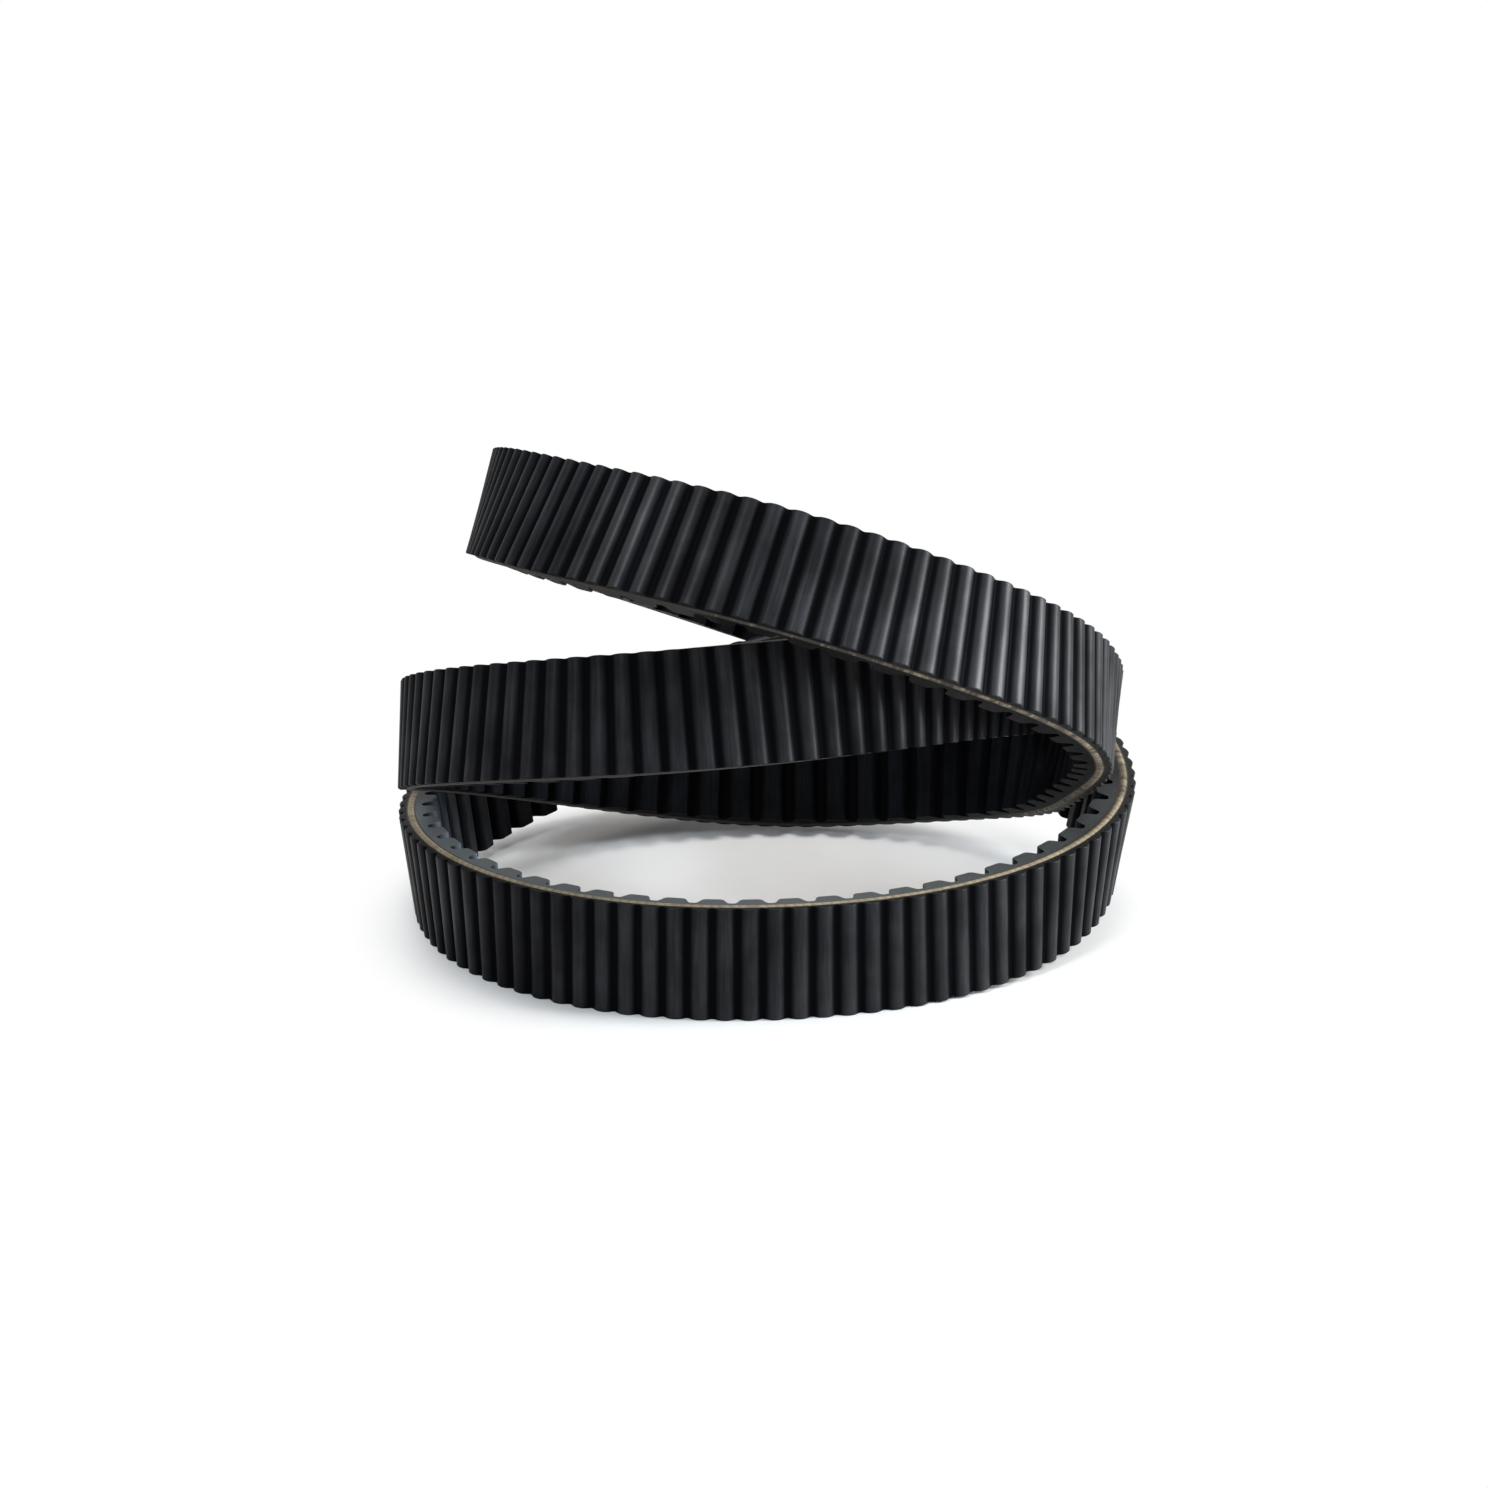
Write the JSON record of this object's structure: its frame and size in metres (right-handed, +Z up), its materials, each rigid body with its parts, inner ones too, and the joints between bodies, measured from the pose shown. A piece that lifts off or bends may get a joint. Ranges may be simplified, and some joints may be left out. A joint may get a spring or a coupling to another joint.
{
  "type": "timing belt",
  "caption": "Endless double-sided cogged rubber drive belt, lying loosely coiled, with fine ribs outside, coarse cogs inside and a cord ply between them.",
  "frame": {"origin": "middle of the coil in plan, on the surface it lies on", "axes": "+Z up, -Y towards the side where the top loop is highest, +X to the right as seen from that side"},
  "size_m": [0.2126, 0.231, 0.1436],
  "materials": {
    "back_rubber": "matte, faintly bluish",
    "cushion_rubber": "matte",
    "cord": "cut tan cord in rubber",
    "base_rubber": "matte"
  },
  "bodies": {
    "root": {"ribbed_back": "back_rubber", "outer_cushion": "cushion_rubber", "cord_ply": "cord", "inner_cushion": "cushion_rubber", "cogged_base": "base_rubber"}
  },
  "joints": []
}
